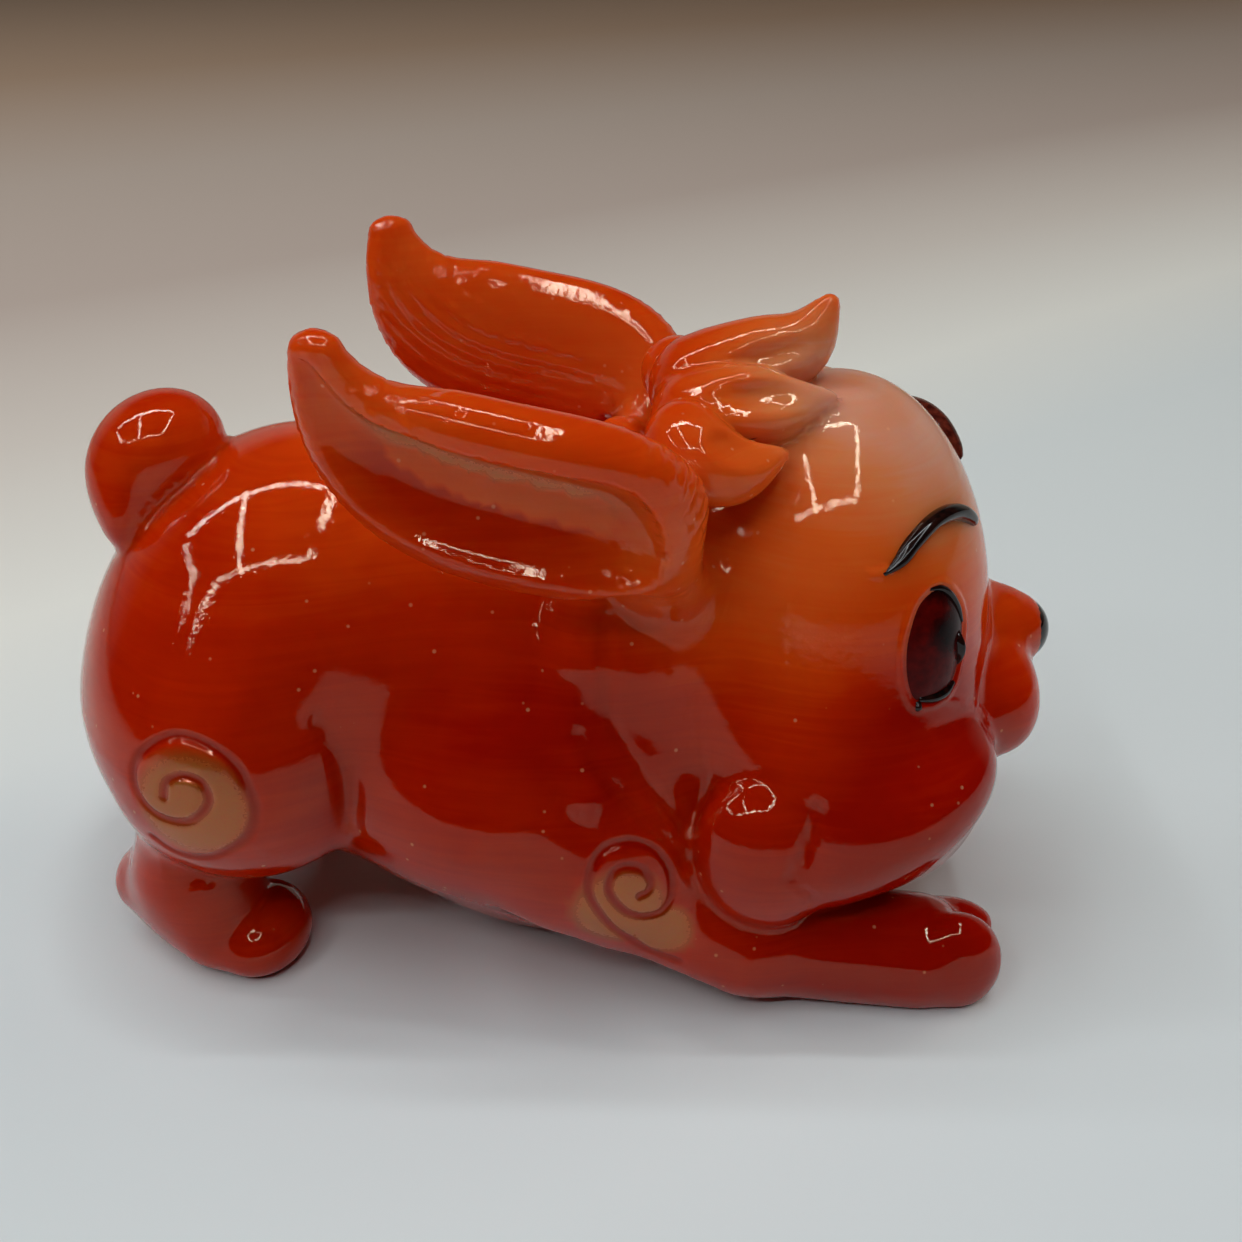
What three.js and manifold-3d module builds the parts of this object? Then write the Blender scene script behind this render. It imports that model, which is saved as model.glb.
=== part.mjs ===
// A crouching rabbit figurine, cast in one piece of clear-coated resin, in millimetres.
// The rabbit faces +X and lies on the plane Z = 0, and its two sides mirror each other in Y.
// The origin is on that plane, under the middle of the figure's outline.
import * as THREE from 'three';
import { mergeVertices } from 'three/addons/utils/BufferGeometryUtils.js';
import Module from 'manifold-3d';

const wasm = await Module();
wasm.setup();

// how far the sculpted figure moves along X to bring its outline over the origin
const CENTRING = -0.4;

// facet size on the surface, and the fewest facets around any part
const FACET = 3.4;
const FEWEST_AROUND = 10;

const RESIN_COLOUR = 0xc4300c;
const RESIN_ROUGHNESS = 0.12;

// the trunk and the head, each one thick limb along a curve in the middle plane: points on the
// centre line, with half the height and half the breadth at each
const TRUNK = {
  path: [[-25.4, 0, 26], [-15, 0, 23.4], [-5, 0, 19.2], [5, 0, 17.8]],
  halfHeight: [19.2, 19.8, 19.6, 18.4],
  halfBreadth: [18, 17.4, 17.8, 17.6],
};
const HEAD = {
  path: [[13.2, 0, 32.2], [16.4, 0, 33.1], [19.7, 0, 34]],
  halfHeight: [17.8, 18.6, 18.4],
  halfBreadth: [17, 18.2, 18.2],
};

// rounded masses on the middle plane: centre, half sizes, and the tilt of the nose end down
const MIDDLE_MASSES = {
  muzzle: { centre: [38.8, 0, 28.2], half: [4, 4.4, 3.7], tilt: 0 },
  chin: { centre: [30.5, 0, 18.5], half: [8.5, 8, 7], tilt: -15 },
  nose: { centre: [41.9, 0, 27.6], half: [2.3, 2.8, 2.5], tilt: 0 },
  tail: { centre: [-34.9, 0, 44.4], half: [5.5, 5.8, 5.9], tilt: -25 },
  tailRoot: { centre: [-35.4, 0, 40.5], half: [4.2, 4.6, 4.5], tilt: 0 },
};

// rounded masses that stand on both sides of the middle plane
const PAIRED_MASSES = {
  haunch: { centre: [-27.2, 12.6, 21.6], half: [12.3, 10.6, 13.4], tilt: 8 },
  hindToes: { centre: [-28.9, 12.7, 5], half: [5, 5, 5.4], tilt: 0 },
  shoulder: { centre: [7.8, 13.6, 12.6], half: [7.6, 7.4, 8], tilt: 0 },
  cheekTuft: { centre: [16.6, 16, 15.6], half: [6.6, 6.2, 6.9], tilt: -35 },
  lipPad: { centre: [39.1, 3.2, 22.2], half: [4.4, 4.2, 6.9], tilt: -6 },
  innerToe: { centre: [34.4, 13.2, 4.2], half: [4.3, 3.5, 4.1], tilt: 0 },
  outerToe: { centre: [35.6, 17.2, 3.5], half: [3.9, 3.1, 3.6], tilt: 0 },
};

// round limbs along a curve: points on the centre line and the radius at each point
const FORELOCK = {
  path: [[12, 0, 48], [15.5, 0, 51.6], [19, 0, 53.4], [22.6, 0, 57.8]],
  radius: [3.6, 4, 3.2, 1],
};
const PAIRED_LIMBS = {
  cheek: {
    path: [[32.6, 7, 19.6], [29, 10.2, 17], [24, 12.6, 14.4], [18.5, 14.4, 13]],
    radius: [6.6, 7.3, 7.2, 6],
  },
  foreleg: {
    path: [[9, 15, 10.4], [19, 15.8, 5.5], [26, 15.6, 4.8], [33, 15.2, 4.1]],
    radius: [6.3, 5.9, 5.3, 4.5],
  },
  hindFoot: {
    path: [[-37.8, 7.5, 5.4], [-34.4, 9.2, 5], [-31, 10.8, 4.6]],
    radius: [4.8, 4.5, 4.3],
  },
  innerLock: {
    path: [[11.6, 4, 48], [14.5, 6, 50.2], [18, 6.6, 51.2], [21.2, 5.6, 51.8]],
    radius: [3.6, 3.7, 2.7, 0.9],
  },
  outerLock: {
    path: [[9.8, 8.5, 46.8], [11.8, 10.8, 46.9], [14.6, 11.6, 46.9], [17.8, 10.9, 47.6]],
    radius: [3.4, 3.5, 2.6, 0.9],
  },
};

// the ear is a leaf: its half width and half thickness, and which way its width runs
const EAR = {
  path: [[11, 13, 43.8], [4.5, 15.3, 47.2], [-3, 17.6, 49.9], [-10.8, 19, 53], [-16.2, 19.4, 59.6]],
  halfWidth: [5.4, 8, 7.8, 6.3, 2.2],
  halfDepth: [3.4, 3.6, 3.3, 2.8, 1.7],
  across: [[0.25, 0, 1], [0.2, 0.05, 1], [0.25, 0.12, 1], [0.6, 0.2, 1], [1, 0.2, 0.6]],
};
// the hollow in the ear's outer face, in parts of the ear's own half width and half thickness
const EAR_HOLLOW = {
  from: 0.08,
  to: 0.93,
  width: 0.78,
  depth: 1.05,
  towardsLowerEdge: 0.13,
  outward: 1.28,
};

// the block that stands for the table top, for cutting the underside flat
const TABLE_DEPTH = 20;
const TABLE_SIZE = 200;

const resin = new THREE.MeshStandardMaterial({
  name: 'tinted_resin',
  color: RESIN_COLOUR,
  roughness: RESIN_ROUGHNESS,
  metalness: 0,
});

/** How many facets of about FACET go round a circle of this radius. */
function facetsAround(radius) {
  return Math.max(FEWEST_AROUND, Math.round((2 * Math.PI * radius) / FACET));
}

/** A closed three.js geometry as a solid that can be joined and cut. */
function solidOf(geometry) {
  geometry.deleteAttribute('normal');
  geometry.deleteAttribute('uv');
  const merged = mergeVertices(geometry, 1e-4);
  return new wasm.Manifold(new wasm.Mesh({
    numProp: 3,
    vertProperties: Float32Array.from(merged.attributes.position.array),
    triVerts: Uint32Array.from(merged.index.array),
  }));
}

/** An ellipsoid on the side of the middle plane that side (1 or -1) says. */
function roundedMass({ centre, half, tilt }, side = 1) {
  const around = facetsAround((half[0] + half[1]) / 2);
  const ball = new THREE.SphereGeometry(1, around, Math.ceil(around / 2));
  ball.rotateX(Math.PI / 2);
  ball.scale(...half);
  ball.rotateY(THREE.MathUtils.degToRad(tilt));
  ball.translate(centre[0], side * centre[1], centre[2]);
  return solidOf(ball);
}

/** A smooth curve through points, taken to the asked side of the middle plane. */
function curveThrough(points, side = 1) {
  const placed = points.map(([x, y, z]) => new THREE.Vector3(x, side * y, z));
  return new THREE.CatmullRomCurve3(placed, false, 'catmullrom', 0.5);
}

/** A smooth run of numbers through the given ones, read at t from 0 to 1. */
function smoothRun(values) {
  const curve = curveThrough(values.map((value, i) => [i, value, 0]));
  return (t) => curve.getPoint(t).y;
}

/** The centre, the width direction and the outward direction of a leaf at t. */
function leafFrame(curve, across, t) {
  const along = curve.getTangent(t);
  const width = across.getPoint(t);
  width.addScaledVector(along, -width.dot(along)).normalize();
  const outward = new THREE.Vector3().crossVectors(along, width);
  return { centre: curve.getPoint(t), along, width, outward };
}

/**
 * A limb with round ends: a sphere whose rings are spread along a curve and sized to
 * its half width and half depth there, the first and last rings making the round ends.
 */
function limbSolid({ curve, across, halfWidth, halfDepth }) {
  const endRadius = (t) => Math.min(halfWidth(t), halfDepth(t));
  const endArc = (Math.PI / 4) * (endRadius(0) + endRadius(1));
  const wholeArc = curve.getLength() + 2 * endArc;
  const endShare = endArc / wholeArc;
  const around = facetsAround((halfWidth(0.5) + halfDepth(0.5)) / 2);
  const rings = Math.max(FEWEST_AROUND, Math.round(wholeArc / FACET));
  const ball = new THREE.SphereGeometry(1, around, rings);
  const position = ball.attributes.position;
  const point = new THREE.Vector3();
  for (let i = 0; i < position.count; i++) {
    point.fromBufferAttribute(position, i);
    const ring = Math.acos(THREE.MathUtils.clamp(point.y, -1, 1)) / Math.PI;
    const angle = Math.atan2(point.z, point.x);
    const t = THREE.MathUtils.clamp((ring - endShare) / (1 - 2 * endShare), 0, 1);
    const startTurn = Math.max(0, 1 - ring / endShare) * Math.PI / 2;
    const endTurn = Math.max(0, 1 - (1 - ring) / endShare) * Math.PI / 2;
    const swell = ring === 0 || ring === 1 ? 0 : Math.cos(startTurn + endTurn);
    const frame = leafFrame(curve, across, t);
    const reach = endRadius(t) * (Math.sin(endTurn) - Math.sin(startTurn));
    point.copy(frame.centre);
    point.addScaledVector(frame.along, reach);
    point.addScaledVector(frame.width, halfWidth(t) * swell * Math.cos(angle));
    point.addScaledVector(frame.outward, halfDepth(t) * swell * Math.sin(angle));
    position.setXYZ(i, point.x, point.y, point.z);
  }
  return solidOf(ball);
}

/** A limb whose width runs upwards, on the asked side of the middle plane. */
function uprightLimb(path, halfHeight, halfBreadth, side = 1) {
  return limbSolid({
    curve: curveThrough(path, side),
    across: curveThrough(path.map(() => [0, 0, 1])),
    halfWidth: smoothRun(halfHeight),
    halfDepth: smoothRun(halfBreadth),
  });
}

/** One ear with the hollow cut in its outer face. */
function earSolid(side) {
  const curve = curveThrough(EAR.path, side);
  const across = curveThrough(EAR.across, side);
  const halfWidth = smoothRun(EAR.halfWidth);
  const halfDepth = smoothRun(EAR.halfDepth);
  const leaf = limbSolid({ curve, across, halfWidth, halfDepth });

  const span = EAR_HOLLOW.to - EAR_HOLLOW.from;
  const inEar = (t) => EAR_HOLLOW.from + span * t;
  const hollowPath = [0, 0.25, 0.5, 0.75, 1].map((t) => {
    const { centre, width, outward } = leafFrame(curve, across, inEar(t));
    centre.addScaledVector(width, -EAR_HOLLOW.towardsLowerEdge * halfWidth(inEar(t)));
    centre.addScaledVector(outward, side * EAR_HOLLOW.outward * halfDepth(inEar(t)));
    return centre.toArray();
  });
  const narrowing = (t) => 0.35 + 0.65 * Math.sin(Math.PI * t) ** 0.6;
  const hollow = limbSolid({
    curve: curveThrough(hollowPath),
    across,
    halfWidth: (t) => EAR_HOLLOW.width * narrowing(t) * halfWidth(inEar(t)),
    halfDepth: (t) => EAR_HOLLOW.depth * narrowing(t) * halfDepth(inEar(t)),
  });
  return leaf.subtract(hollow);
}

/** Everything below the plane that the figure lies on. */
function belowGround() {
  const block = new THREE.BoxGeometry(TABLE_SIZE, TABLE_SIZE, TABLE_DEPTH);
  block.translate(0, 0, -TABLE_DEPTH / 2);
  return solidOf(block);
}

/** A joined solid as a three.js geometry, moved over the origin. */
function geometryOf(solid) {
  const mesh = solid.getMesh();
  const geometry = new THREE.BufferGeometry();
  geometry.setAttribute('position', new THREE.BufferAttribute(mesh.vertProperties, 3));
  geometry.setIndex(new THREE.BufferAttribute(mesh.triVerts, 1));
  geometry.translate(CENTRING, 0, 0);
  return geometry;
}

/** The whole figure: every mass and limb joined, and its underside cut flat. */
function rabbitSolid() {
  const pieces = Object.values(MIDDLE_MASSES).map((mass) => roundedMass(mass));
  for (const { path, halfHeight, halfBreadth } of [TRUNK, HEAD]) {
    pieces.push(uprightLimb(path, halfHeight, halfBreadth));
  }
  pieces.push(uprightLimb(FORELOCK.path, FORELOCK.radius, FORELOCK.radius));
  for (const side of [-1, 1]) {
    pieces.push(...Object.values(PAIRED_MASSES).map((mass) => roundedMass(mass, side)));
    for (const { path, radius } of Object.values(PAIRED_LIMBS)) {
      pieces.push(uprightLimb(path, radius, radius, side));
    }
    pieces.push(earSolid(side));
  }
  const whole = pieces.reduce((joined, piece) => joined.add(piece));
  return whole.subtract(belowGround());
}

const rabbit = new THREE.Mesh(geometryOf(rabbitSolid()), resin);
rabbit.name = 'rabbit';

const figurine = new THREE.Group();
figurine.add(rabbit);
export default figurine;
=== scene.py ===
"""The looks of a small cast-resin rabbit: a crouching figure about 88 mm long, rump up, chin over its
forelegs, ears swept back, orange to red with gold swirls. Lengths are in mm until a mesh is made."""

import math

import bmesh
import bpy
import numpy as np
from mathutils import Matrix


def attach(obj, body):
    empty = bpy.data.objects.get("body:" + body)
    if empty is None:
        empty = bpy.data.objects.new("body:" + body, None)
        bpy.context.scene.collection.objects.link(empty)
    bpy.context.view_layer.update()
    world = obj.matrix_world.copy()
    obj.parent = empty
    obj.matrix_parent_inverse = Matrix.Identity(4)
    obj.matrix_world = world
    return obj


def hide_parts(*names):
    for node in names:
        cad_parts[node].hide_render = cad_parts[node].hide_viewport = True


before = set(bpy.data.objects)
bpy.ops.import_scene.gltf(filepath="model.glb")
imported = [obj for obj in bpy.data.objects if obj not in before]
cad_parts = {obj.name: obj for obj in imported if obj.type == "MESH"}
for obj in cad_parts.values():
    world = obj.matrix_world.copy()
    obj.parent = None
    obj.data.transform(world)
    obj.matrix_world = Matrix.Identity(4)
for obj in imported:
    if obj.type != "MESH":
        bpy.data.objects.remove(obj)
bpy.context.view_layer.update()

# The camera. It is held close and looks down on the near side of the figure at about 28 degrees.
# Its picture is 1242 pixels square, and its focal length is 1400 of them.
MM = 0.001
PICTURE_SIDE = 1242
FOCAL_PIXELS = 1400
SENSOR_WIDTH = 36.0
CAMERA_PLACE = (5.2, -113.5, 89.5)
CAMERA_DIP = math.radians(28.2)

lens = bpy.data.cameras.new("view")
lens.sensor_width = SENSOR_WIDTH
lens.lens = SENSOR_WIDTH * FOCAL_PIXELS / PICTURE_SIDE
lens.clip_start = 5 * MM
camera = bpy.data.objects.new("view", lens)
camera.location = [MM * length for length in CAMERA_PLACE]
camera.rotation_euler = (math.pi / 2 - CAMERA_DIP, 0, 0)
bpy.context.scene.collection.objects.link(camera)
bpy.context.scene.camera = camera
bpy.context.scene.view_settings.view_transform = "Standard"


# The table. A smooth pale cloth, cool white near the figure and cream further back, with painted shade
# that darkens it towards the back left. It is a flat sheet wide enough to fill the picture to its top edge.
def linear(hex_colour):
    """An sRGB hex colour as linear red, green, blue and alpha."""
    parts = [int(hex_colour[i:i + 2], 16) / 255 for i in (1, 3, 5)]
    return [c / 12.92 if c <= 0.04045 else ((c + 0.055) / 1.055) ** 2.4 for c in parts] + [1.0]


def add_node(owner, kind, links=None, **settings):
    """Adds a node to a material or the room. Settings name its properties or, where it has none of that
    name, its input sockets. Links name or number its inputs and give the outputs that feed them."""
    node = owner.node_tree.nodes.new("ShaderNode" + kind)
    for name, value in settings.items():
        if hasattr(node, name):
            setattr(node, name, value)
        else:
            node.inputs[name.replace("_", " ")].default_value = value
    for socket, source in (links or {}).items():
        owner.node_tree.links.new(source, node.inputs[socket])
    return node


def new_material(name):
    """An empty node material."""
    material = bpy.data.materials.new(name)
    material.use_nodes = True
    material.node_tree.nodes.clear()
    return material


def set_ramp(node, stops):
    """Gives a ColorRamp its stops: (place from 0 to 1, sRGB hex colour)."""
    elements = node.color_ramp.elements
    while len(elements) > 1:
        elements.remove(elements[-1])
    elements[0].position = stops[0][0]
    elements[0].color = linear(stops[0][1])
    for place, colour in stops[1:]:
        elements.new(place).color = linear(colour)


def mesh_object(name, points_mm, faces, material):
    """An object at the world origin from points in mm and lists of corner numbers, shaded smooth."""
    mesh = bpy.data.meshes.new(name)
    corners = faces.tolist() if hasattr(faces, "tolist") else faces
    mesh.from_pydata((np.asarray(points_mm) * MM).tolist(), [], corners)
    mesh.shade_smooth()
    mesh.materials.append(material)
    piece = bpy.data.objects.new(name, mesh)
    bpy.context.scene.collection.objects.link(piece)
    return piece


def grid_faces(rows, columns, closed=False):
    """Corner numbers of the quads between neighbouring points of a rows by columns grid."""
    across = columns if closed else columns - 1
    row, column = np.meshgrid(np.arange(rows - 1), np.arange(across), indexing="ij")
    right = (column + 1) % columns
    here, below = row * columns, (row + 1) * columns
    return np.stack([here + column, here + right, below + right, below + column], -1).reshape(-1, 4)


CLOTH_REACH = 2500.0
CLOTH_POINTS = 41
CLOTH_ROUGHNESS = 0.75
# Depth on the cloth is measured towards the back left, where it turns cream soonest and then darkens with
# painted shade.
CLOTH_DEPTH = (-0.8, 1.0, 0.0)
CLOTH_TONES_AND_SHADE = [(-150, "#dfe2e3"), (60, "#e1e3e1"), (115, "#efeae1"), (200, "#dccfc4"), (320, "#c3afa3"),
               (500, "#c2aea0"), (850, "#bb9a80")]


def cloth_material():
    """Satin woven cloth, cool white in front to cream behind, darkened at the back left by painted shade."""
    material = new_material("satin cloth")
    first, last = CLOTH_TONES_AND_SHADE[0][0], CLOTH_TONES_AND_SHADE[-1][0]
    place = add_node(material, "TexCoord")
    depth_along = add_node(material, "VectorMath", {0: place.outputs["Object"]}, operation="DOT_PRODUCT")
    depth_along.inputs[1].default_value = CLOTH_DEPTH
    depth = add_node(material, "MapRange", {0: depth_along.outputs["Value"]},
                     From_Min=first * MM, From_Max=last * MM)
    tone = add_node(material, "ValToRGB", {0: depth.outputs[0]})
    set_ramp(tone, [((y - first) / (last - first), colour) for y, colour in CLOTH_TONES_AND_SHADE])
    cloth = add_node(material, "BsdfPrincipled", {"Base Color": tone.outputs[0]}, Roughness=CLOTH_ROUGHNESS)
    add_node(material, "OutputMaterial", {0: cloth.outputs[0]})
    return material


side = np.linspace(-CLOTH_REACH, CLOTH_REACH, CLOTH_POINTS)
across, along = np.meshgrid(side, side, indexing="ij")
cloth_points = np.stack([across, along, 0 * across], -1).reshape(-1, 3)
cloth_faces = grid_faces(CLOTH_POINTS, CLOTH_POINTS)[:, ::-1]
mesh_object("table_cloth", cloth_points, cloth_faces, cloth_material())

# The lights. Narrow tubes that outline a rectangle on the ceiling, a little behind and left of the figure,
# with a cross tube, as the highlights on the figure show. A wide soft panel fills in from the right.
CEILING = 900.0
TUBE_WIDTH = 33.0
TUBE_WATTS_PER_METRE = 2.58
TUBE_COLOUR = "#f2fbff"
TUBES = {
    "tube_back": ((-1300, 160), (170, 120)),
    "tube_front": ((-1050, -780), (170, -700)),
    "tube_right": ((190, -660), (200, 90)),
    "tube_cross": ((-520, -800), (-500, 180)),
    "tube_left": ((-1250, -640), (-1350, 60)),
}
FILL_PLACE = (1500, 500, 900)
FILL_SIDE = 900.0
FILL_WATTS = 7.0
FILL_COLOUR = "#fff6ea"
FILL_TIP = math.radians(60)


def area_light(name, place, size, turn, watts, colour):
    """A rectangular lamp, place and size in mm, turned by (x, y, z) angles."""
    lamp = bpy.data.lights.new(name, "AREA")
    lamp.shape = "RECTANGLE"
    lamp.size, lamp.size_y = size[0] * MM, size[1] * MM
    lamp.energy = watts
    lamp.color = linear(colour)[:3]
    holder = bpy.data.objects.new(name, lamp)
    holder.location = [length * MM for length in place]
    holder.rotation_euler = turn
    bpy.context.scene.collection.objects.link(holder)
    return holder


for name, (start, end) in TUBES.items():
    start, end = np.array(start), np.array(end)
    length = np.linalg.norm(end - start)
    middle = (start + end) / 2
    bearing = math.atan2(*(end - start)[::-1])
    area_light(name, (*middle, CEILING), (length, TUBE_WIDTH), (0, 0, bearing),
               TUBE_WATTS_PER_METRE * length * MM, TUBE_COLOUR)
fill_bearing = math.atan2(FILL_PLACE[1], FILL_PLACE[0])
fill = area_light("fill_panel", FILL_PLACE, (FILL_SIDE, FILL_SIDE), (0, FILL_TIP, fill_bearing),
                  FILL_WATTS, FILL_COLOUR)
fill.visible_glossy = False

# The room. Dark above and in front, so the lacquer stays clear, with a low cream wall behind the figure.
# Seen directly it is a plain pale backdrop.
ROOM_STRENGTH = 0.015
WALL_STRENGTH = 0.34
WALL_COLOUR = "#f3e7d8"
# The wall fades in as a direction turns to the back, and out as it climbs.
WALL_TURN = (0.2, 0.6)
WALL_CLIMB = (0.35, 0.55)
BACKDROP_COLOUR = "#c9c5bf"
room = bpy.data.worlds.new("room")
room.use_nodes = True
room.node_tree.nodes.clear()
direction = add_node(room, "SeparateXYZ", {0: add_node(room, "TexCoord").outputs["Generated"]})
behind = add_node(room, "MapRange", {0: direction.outputs["Y"]},
                  From_Min=WALL_TURN[0], From_Max=WALL_TURN[1])
low = add_node(room, "MapRange", {0: direction.outputs["Z"]},
               From_Min=WALL_CLIMB[1], From_Max=WALL_CLIMB[0])
wall = add_node(room, "Math", {0: behind.outputs[0], 1: low.outputs[0]}, operation="MULTIPLY")
glow = add_node(room, "MapRange", {0: wall.outputs[0]}, To_Min=ROOM_STRENGTH, To_Max=WALL_STRENGTH)
lit = add_node(room, "Background", {"Strength": glow.outputs[0]}, Color=linear(WALL_COLOUR))
seen = add_node(room, "Background", Color=linear(BACKDROP_COLOUR))
either = add_node(room, "MixShader", {0: add_node(room, "LightPath").outputs["Is Camera Ray"],
                                      1: lit.outputs[0], 2: seen.outputs[0]})
add_node(room, "OutputWorld", {0: either.outputs[0]})
bpy.context.scene.world = room


# The casting. One solid piece of resin from a two-part mould: trunk, head, ears, legs, tail and forelock.
# Its masses melt into one another, which no single grid of two parameters can do, so the skin is the zero
# level of a distance field, worked out with whole arrays for one side and mirrored.
CENTRING = np.array([-0.4, 0, 0])


def unit(vectors):
    """The vectors at length one."""
    return vectors / np.linalg.norm(vectors, axis=-1)[..., None]


def turned(tilt):
    """The local axes of a mass, as columns, tipped by tilt degrees about the crosswise axis."""
    c, s = math.cos(math.radians(tilt)), math.sin(math.radians(tilt))
    return np.array([[c, 0, s], [0, 1, 0], [-s, 0, c]])


def oval(offsets, half_sizes):
    """Distance to an ellipse or an ellipsoid, near enough: how far the point's scaled length is past 1, over
    its slope. Offsets from the centre and half sizes come one for each axis."""
    scaled = np.sqrt(sum((offset / size) ** 2 for offset, size in zip(offsets, half_sizes)))
    steepness = np.sqrt(sum((offset / size ** 2) ** 2 for offset, size in zip(offsets, half_sizes)))
    return scaled * (scaled - 1) / np.maximum(steepness, 1e-9)


def egg(p, centre, radii, tilt=0):
    """The same for an ellipsoid about a centre, tipped by tilt degrees."""
    return oval(((p - np.array(centre, float)) @ turned(tilt)).T, radii)


def melt(a, b, reach):
    """The nearer of two distances, rounded where they differ by less than reach."""
    near = np.maximum(reach - np.abs(a - b), 0) / reach
    return np.minimum(a, b) - near * near * reach / 4


def carve(a, b, reach):
    """What is inside a and outside b, with the edge rounded over reach."""
    return -melt(-a, b, reach)


def ramp(value, low, high, start=0, end=1):
    """start where value is at low, end where it is at high, straight between them and flat beyond."""
    return start + (end - start) * np.clip((value - low) / (high - low), 0, 1)


def smooth_run(points, count):
    """count points on a smooth curve through the given ones: each stretch is the Catmull-Rom cubic."""
    knots = np.array(points, float)
    padded = np.concatenate([[2 * knots[0] - knots[1]], knots, [2 * knots[-1] - knots[-2]]])
    travel = np.linspace(0, len(knots) - 1, count)
    first = np.minimum(travel.astype(int), len(knots) - 2)
    t = (travel - first).reshape((-1,) + (1,) * (knots.ndim - 1))
    a, b, c, d = (padded[first + step] for step in range(4))
    return 0.5 * (2 * b + (c - a) * t + (2 * a - 5 * b + 4 * c - d) * t ** 2
                  + (3 * b - a - 3 * c + d) * t ** 3)


def bezier(points, count):
    """count points on the one curve that starts at the first point, ends at the last and is drawn towards
    the ones between, each weighted by its share of the binomial."""
    t = np.linspace(0, 1, count)[:, None]
    last = len(points) - 1
    return sum(math.comb(last, k) * t ** k * (1 - t) ** (last - k) * np.array(point, float)
               for k, point in enumerate(points))


def limb(p, start, end, start_radius, end_radius):
    """Distance to a tapered, round-ended limb: to the nearest point of its axis, less the radius there."""
    axis = np.array(end, float) - start
    share = np.clip(((p - start) @ axis) / (axis @ axis), 0, 1)
    radius = start_radius + (end_radius - start_radius) * share
    return np.linalg.norm(p - start - share[..., None] * axis, axis=-1) - radius


def horn(p, path, radii, count=14, softness=0.4):
    """Distance to a curved tapering limb: a chain of straight ones along a smooth path."""
    centres, sizes = smooth_run(path, count), smooth_run(radii, count)
    distance = limb(p, centres[0], centres[1], sizes[0], sizes[1])
    for i in range(1, count - 1):
        distance = melt(distance, limb(p, centres[i], centres[i + 1], sizes[i], sizes[i + 1]), softness)
    return distance


def only_near(p, low, high, shape):
    """shape(p) inside a box, and outside it the distance to the box plus a margin: it saves time, and
    changes nothing where masses meet, because the box stands clear of its mass by the margin."""
    margin = 4.0
    low, high = np.array(low, float) - margin, np.array(high, float) + margin
    outside = np.linalg.norm(np.maximum(np.maximum(low - p, p - high), 0), axis=-1)
    distance = outside + margin
    inside = outside == 0
    distance[inside] = shape(p[inside])
    return distance


def along_spine(p, path, ups, widths, depths, steps):
    """Where each point lies about a curved spine: across it, outward, lengthwise past its ends, the half
    width and half depth there, and the share of its length."""
    spine = bezier(path, steps)
    wide_run, deep_run = smooth_run(widths, steps), smooth_run(depths, steps)
    ahead = unit(np.gradient(spine, axis=0))
    up = bezier(ups, steps)
    up = unit(up - (up * ahead).sum(1)[:, None] * ahead)
    out = np.cross(ahead, up)
    nearest = np.full(len(p), 1e9)
    found = np.zeros((4, len(p)))
    for i in range(steps - 1):
        leg = spine[i + 1] - spine[i]
        share = np.clip(((p - spine[i]) @ leg) / (leg @ leg), 0, 1)
        offset = p - spine[i] - share[:, None] * leg
        distance = (offset * offset).sum(1)
        wide = (offset * (up[i] + share[:, None] * (up[i + 1] - up[i]))).sum(1)
        deep = (offset * (out[i] + share[:, None] * (out[i + 1] - out[i]))).sum(1)
        past_end = (share == 0) if i == 0 else (share == 1) & (i == steps - 2)
        here = np.stack([wide, deep, past_end * (offset @ leg) / np.linalg.norm(leg), i + share])
        closer = distance < nearest
        nearest = np.where(closer, distance, nearest)
        found = np.where(closer, here, found)
    wide, deep, beyond, travel = found
    every = np.arange(steps)
    return (wide, deep, beyond, np.interp(travel, every, wide_run), np.interp(travel, every, deep_run),
            travel / (steps - 1))


EAR_PATH = [(8.1, 13.3, 39.8), (11.2, 19.7, 50.4), (-2.7, 19.5, 46.5), (-14.3, 15.8, 48.9),
            (-15.9, 18.1, 59.9)]
EAR_WIDTHS = [2.4, 6.6, 7.4, 6.3, 2.0]
EAR_DEPTHS = [3.4, 3.5, 3.3, 2.8, 1.5]
EAR_UPS = [(0.25, -0.12, 1), (0.2, 0.14, 1), (0.25, -0.03, 1), (0.6, 0.09, 1), (1, 0.41, 0.6)]
EAR_STEPS = 44
EAR_ROLL = {"radius": 0.34, "outward": 0.13}
EAR_SCOOP = {"across": -0.1, "outward": 1.0, "width": 0.67, "depth": 1.0, "tilt": math.radians(15),
             "opens": (0.14, 0.34), "closes": (0.75, 1.0), "edge": 0.45}
EAR_STRANDS = {"spacing": 1.4, "height": 0.06}


def ear_place(p):
    """Where each point lies about the ear's spine."""
    return along_spine(p, EAR_PATH, EAR_UPS, EAR_WIDTHS, EAR_DEPTHS, EAR_STEPS)


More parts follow.
